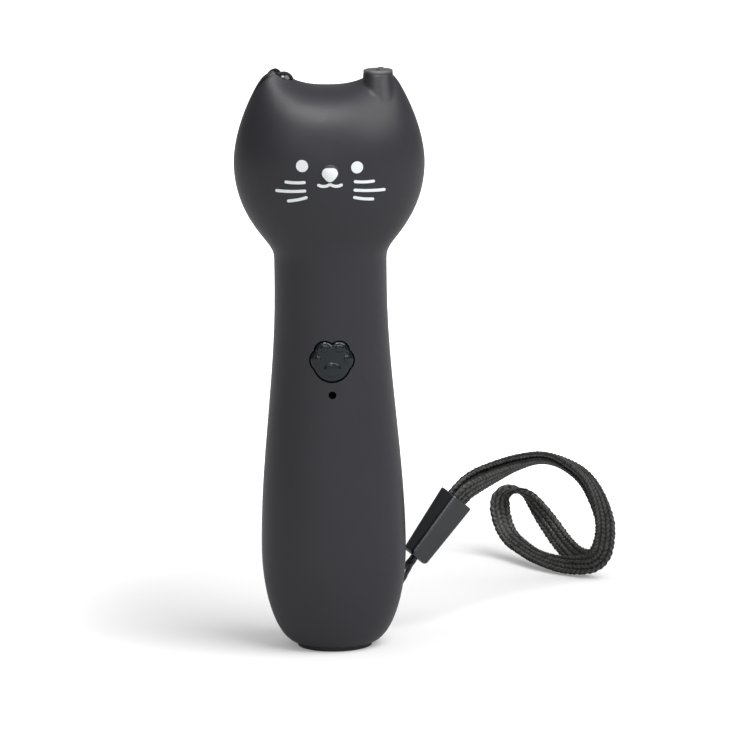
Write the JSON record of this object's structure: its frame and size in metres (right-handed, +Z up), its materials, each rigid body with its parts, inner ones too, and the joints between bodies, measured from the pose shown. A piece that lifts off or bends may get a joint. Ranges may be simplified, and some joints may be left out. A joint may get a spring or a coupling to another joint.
{
  "type": "cat laser pointer",
  "caption": "Hand-held pet pointer shaped like a cat, with a paw button, a laser in one ear, a lamp in the other and a woven wrist strap.",
  "frame": {"origin": "centre of the flat foot, on the surface that the pointer stands on", "axes": "+Z up along the body, -Y out of the cat's face, +X to the viewer's right, towards the laser ear"},
  "size_m": [0.0874, 0.1098, 0.1331],
  "materials": {
    "body": "fine matt soft-touch charcoal",
    "marks": "smooth white",
    "button": "polished black",
    "lamp_clear": "clear",
    "torch_lamp": "dark glossy dome",
    "bezel": "satin turned",
    "brass": "turned brass",
    "lens": "clear",
    "steel": "plain",
    "lead": "red insulated wire",
    "cell_wrap": "blue shrink wrap",
    "foam": "black foam",
    "board": "green board",
    "chip": "black moulded",
    "weave": "dark woven band",
    "thread": "black twisted thread",
    "bead": "moulded charcoal"
  },
  "bodies": {
    "casing": {"back_shell": "body", "battery_cell": "cell_wrap", "battery_leads": "lead", "battery_pad": "foam", "board_components": "chip", "board_screws": "steel", "charge_light": "lamp_clear", "circuit_board": "board", "eye_marks": "marks", "front_shell": "body", "laser_barrel": "brass", "laser_bezel": "bezel", "laser_diode": "steel", "laser_leads": "lead", "laser_lens": "lens", "light_pipe": "lamp_clear", "muzzle_mark": "marks", "shell_screws": "steel", "socket_shell": "steel", "socket_tongue": "chip", "strap_band": "weave", "strap_bead": "bead", "strap_thread": "thread", "switch_cover": "steel", "switch_housing": "chip", "torch_lamp": "torch_lamp", "torch_leads": "lead", "whisker_marks": "marks"},
    "button": {"paw_button": "button"},
    "plunger": {"switch_plunger": "chip"}
  },
  "joints": [
    {"name": "button_press", "type": "slide", "parent": "casing", "child": "button", "axis": [0, 1, 0], "range_m": [0, 0.0006], "stiffness_N_per_m": 1500},
    {"name": "plunger_press", "type": "slide", "parent": "casing", "child": "plunger", "axis": [0, 1, 0], "range_m": [0, 0.0003]}
  ],
  "couplings": [
    {"joint": "plunger_press", "follows": "button_press", "ratio": 0.5}
  ]
}
